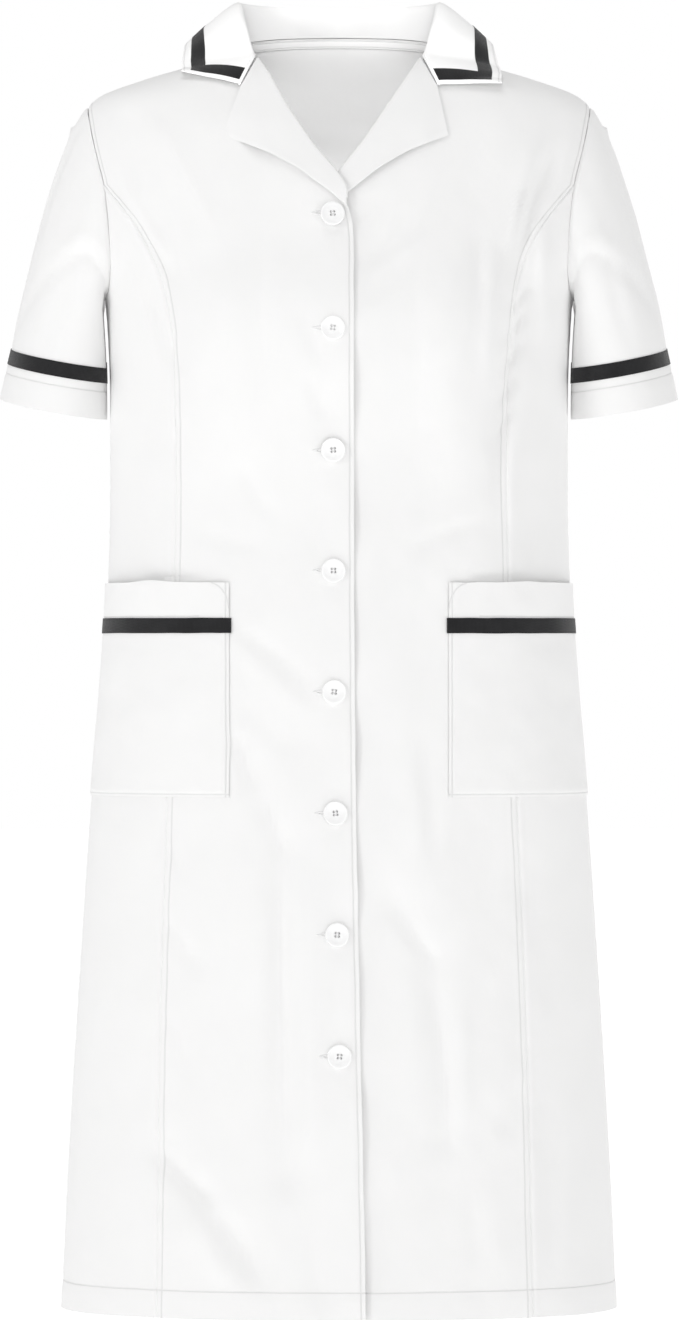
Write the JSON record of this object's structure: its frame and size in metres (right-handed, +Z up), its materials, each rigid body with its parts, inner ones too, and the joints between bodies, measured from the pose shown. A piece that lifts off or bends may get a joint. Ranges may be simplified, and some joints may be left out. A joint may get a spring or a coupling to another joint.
{
  "type": "nurse uniform dress",
  "caption": "Hollow knee-length nurse uniform dress, worn shape: notched collar, buttoned front, short set-in sleeves, princess seams, patch pockets and black tape trim.",
  "frame": {"origin": "midway between the two neck ends of the shoulder seams, where a wearer's shoulders hold the dress", "axes": "+Z up along the wearer's spine, -Y towards the front of the dress, +X to the wearer's left"},
  "size_m": [0.5436, 0.2746, 1.0443],
  "materials": {
    "dress_cloth": "plain white polyester-cotton, matt, fine weave",
    "trim_tape": "black woven tape, matt",
    "button_plastic": "white polyester button, gloss, raised rim"
  },
  "bodies": {
    "root": {"front_right": "dress_cloth", "front_left": "dress_cloth", "side_front_right": "dress_cloth", "side_front_left": "dress_cloth", "back": "dress_cloth", "sleeve_right": "dress_cloth", "sleeve_left": "dress_cloth", "collar": "dress_cloth", "lapel_right": "dress_cloth", "lapel_left": "dress_cloth", "neck_tape": "dress_cloth", "pocket_right": "dress_cloth", "pocket_left": "dress_cloth", "collar_tape": "trim_tape", "sleeve_tape_right": "trim_tape", "sleeve_tape_left": "trim_tape", "pocket_tape_right": "trim_tape", "pocket_tape_left": "trim_tape", "button_1": "button_plastic", "button_2": "button_plastic", "button_3": "button_plastic", "button_4": "button_plastic", "button_5": "button_plastic", "button_6": "button_plastic", "button_7": "button_plastic", "button_8": "button_plastic"}
  },
  "joints": []
}
